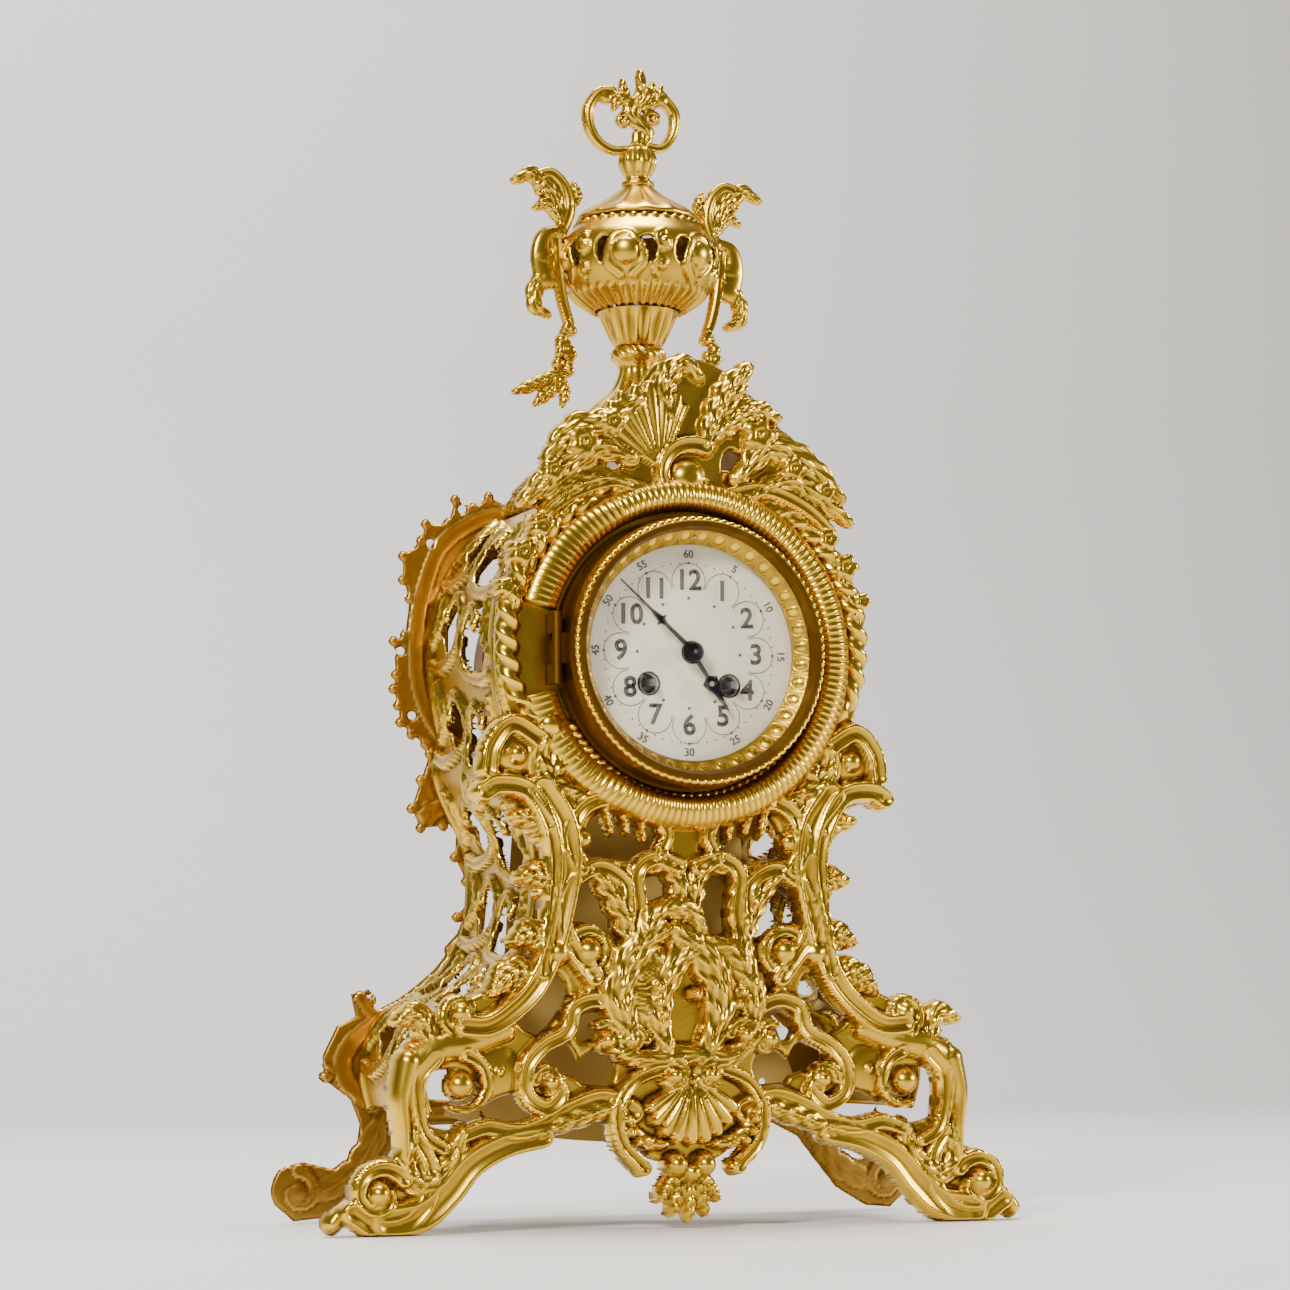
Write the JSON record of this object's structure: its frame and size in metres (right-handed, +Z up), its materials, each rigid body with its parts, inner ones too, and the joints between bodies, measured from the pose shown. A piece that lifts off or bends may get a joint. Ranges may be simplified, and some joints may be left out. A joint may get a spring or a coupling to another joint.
{
  "type": "mantel clock",
  "caption": "Rococo cast gilt-brass mantel clock on scrolled feet, with an urn on top, a hinged glazed bezel and a round spring-driven striking movement with a pendulum.",
  "frame": {"origin": "on the table, under the middle of the clock's bounding box", "axes": "+Z up, the dial faces -Y, +X is to the viewer's right"},
  "size_m": [0.2988, 0.14, 0.482],
  "materials": {
    "gilt_brass": "gilt cast brass, bright on the high points and amber in the recesses",
    "dark_gilt": "darkened gilt cast brass",
    "movement_brass": "lacquered, turned and grained brass",
    "sheet_brass": "brushed, slightly tarnished brass sheet",
    "bell_metal": "turned bell metal",
    "steel": "polished steel",
    "blued_steel": "dark blued steel",
    "enamel": "cream enamel, glossy",
    "bezel_glass": "clear bevelled glass"
  },
  "bodies": {
    "case": {"front_casting": "gilt_brass", "side_casting_left": "gilt_brass", "side_casting_right": "gilt_brass", "rear_frame": "dark_gilt", "screen_plate": "sheet_brass", "top_dome": "gilt_brass", "crest_ornament": "gilt_brass", "dial_surround": "gilt_brass", "urn_pedestal": "gilt_brass", "urn_cup": "gilt_brass", "urn_bowl": "gilt_brass", "urn_lid": "gilt_brass", "urn_finial": "gilt_brass", "urn_handle_left": "gilt_brass", "urn_handle_right": "gilt_brass", "urn_tie_rod": "steel", "drum_tube": "movement_brass", "bezel_seat": "gilt_brass", "hinge_pins": "steel", "rear_ring": "movement_brass", "case_straps": "movement_brass", "dial": "enamel", "front_plate": "movement_brass", "back_plate": "movement_brass", "plate_pillars": "movement_brass", "plate_screws": "steel", "suspension_cock": "movement_brass", "suspension_spring": "steel", "bell": "bell_metal", "bell_stand": "movement_brass"},
    "bezel": {"bezel_rim": "gilt_brass", "bezel_glass": "bezel_glass", "slip_ring": "gilt_brass"},
    "rear_door": {"rear_door": "movement_brass"},
    "minute_arbor": {"centre_wheel": "movement_brass", "cannon_pinion": "movement_brass", "minute_hand": "blued_steel", "hand_nut": "blued_steel"},
    "hour_pipe": {"hour_wheel": "movement_brass", "hour_hand": "blued_steel"},
    "minute_wheel": {"minute_wheel": "movement_brass"},
    "going_barrel": {"going_barrel": "movement_brass", "going_mainspring": "steel"},
    "going_winder": {"going_winding_arbor": "steel"},
    "going_second": {"going_second_wheel": "movement_brass"},
    "third_wheel": {"third_wheel": "movement_brass"},
    "escape_wheel": {"escape_wheel": "movement_brass"},
    "anchor": {"anchor": "movement_brass"},
    "pendulum": {"pendulum_rod": "movement_brass", "pendulum_bob": "movement_brass"},
    "strike_barrel": {"strike_barrel": "movement_brass", "strike_mainspring": "steel"},
    "strike_winder": {"strike_winding_arbor": "steel"},
    "strike_second": {"strike_second_wheel": "movement_brass"},
    "pin_wheel": {"pin_wheel": "movement_brass"},
    "stop_wheel": {"stop_wheel": "movement_brass"},
    "fly": {"fly": "steel"},
    "hammer": {"hammer": "steel"}
  },
  "joints": [
    {"name": "bezel_hinge", "type": "hinge", "parent": "case", "child": "bezel", "pos_m": [-0.057, -0.0575, 0.228], "axis": [0, 0, -1], "range_deg": [0, 110]},
    {"name": "rear_door_hinge", "type": "hinge", "parent": "case", "child": "rear_door", "pos_m": [0.057, 0.0535, 0.228], "axis": [0, 0, -1], "range_deg": [0, 105]},
    {"name": "third_wheel_turn", "type": "hinge", "parent": "case", "child": "third_wheel", "pos_m": [-0.0072, 0, 0.24047], "axis": [0, 1, 0], "continuous": true},
    {"name": "minute_hand_turn", "type": "hinge", "parent": "case", "child": "minute_arbor", "pos_m": [0, 0, 0.228], "axis": [0, 1, 0], "continuous": true},
    {"name": "hour_hand_turn", "type": "hinge", "parent": "case", "child": "hour_pipe", "pos_m": [0, 0, 0.228], "axis": [0, 1, 0], "continuous": true},
    {"name": "minute_wheel_turn", "type": "hinge", "parent": "case", "child": "minute_wheel", "pos_m": [0, 0, 0.24], "axis": [0, 1, 0], "continuous": true},
    {"name": "going_second_turn", "type": "hinge", "parent": "case", "child": "going_second", "pos_m": [0.01444, 0, 0.23307], "axis": [0, 1, 0], "continuous": true},
    {"name": "going_barrel_turn", "type": "hinge", "parent": "case", "child": "going_barrel", "pos_m": [0.0173, 0, 0.2153], "axis": [0, 1, 0], "continuous": true},
    {"name": "escape_wheel_turn", "type": "hinge", "parent": "case", "child": "escape_wheel", "pos_m": [0, 0, 0.25153], "axis": [0, 1, 0], "continuous": true},
    {"name": "going_winding", "type": "hinge", "parent": "case", "child": "going_winder", "pos_m": [0.0173, 0, 0.2153], "axis": [0, 1, 0], "continuous": true},
    {"name": "stop_wheel_turn", "type": "hinge", "parent": "case", "child": "stop_wheel", "pos_m": [-0.0152, 0, 0.25608], "axis": [0, 1, 0], "continuous": true},
    {"name": "fly_turn", "type": "hinge", "parent": "case", "child": "fly", "pos_m": [-0.00834, 0, 0.26184], "axis": [0, 1, 0], "continuous": true},
    {"name": "pin_wheel_turn", "type": "hinge", "parent": "case", "child": "pin_wheel", "pos_m": [-0.02176, 0, 0.24827], "axis": [0, 1, 0], "continuous": true},
    {"name": "strike_second_turn", "type": "hinge", "parent": "case", "child": "strike_second", "pos_m": [-0.02043, 0, 0.23303], "axis": [0, 1, 0], "continuous": true},
    {"name": "strike_barrel_turn", "type": "hinge", "parent": "case", "child": "strike_barrel", "pos_m": [-0.0173, 0, 0.2153], "axis": [0, 1, 0], "continuous": true},
    {"name": "strike_winding", "type": "hinge", "parent": "case", "child": "strike_winder", "pos_m": [-0.0173, 0, 0.2153], "axis": [0, 1, 0], "continuous": true},
    {"name": "pendulum_swing", "type": "hinge", "parent": "case", "child": "pendulum", "pos_m": [0, 0, 0.26273], "axis": [0, 1, 0], "range_deg": [-4, 4]},
    {"name": "anchor_rock", "type": "hinge", "parent": "case", "child": "anchor", "pos_m": [0, 0, 0.26273], "axis": [0, 1, 0], "range_deg": [-4, 4]},
    {"name": "hammer_lift", "type": "hinge", "parent": "case", "child": "hammer", "pos_m": [-0.037, 0, 0.226], "axis": [0, -1, 0], "range_deg": [0, 12]}
  ],
  "couplings": [
    {"joint": "minute_hand_turn", "follows": "third_wheel_turn", "ratio": -0.090909},
    {"joint": "hour_hand_turn", "follows": "third_wheel_turn", "ratio": -0.0075758},
    {"joint": "minute_wheel_turn", "follows": "third_wheel_turn", "ratio": 0.030303},
    {"joint": "going_second_turn", "follows": "third_wheel_turn", "ratio": 0.012121},
    {"joint": "going_barrel_turn", "follows": "third_wheel_turn", "ratio": -0.0015152},
    {"joint": "escape_wheel_turn", "follows": "third_wheel_turn", "ratio": -10},
    {"joint": "fly_turn", "follows": "stop_wheel_turn", "ratio": -7},
    {"joint": "pin_wheel_turn", "follows": "stop_wheel_turn", "ratio": -0.13333},
    {"joint": "strike_second_turn", "follows": "stop_wheel_turn", "ratio": 0.017778},
    {"joint": "strike_barrel_turn", "follows": "stop_wheel_turn", "ratio": -0.0022222},
    {"joint": "anchor_rock", "follows": "pendulum_swing", "ratio": 1}
  ]
}
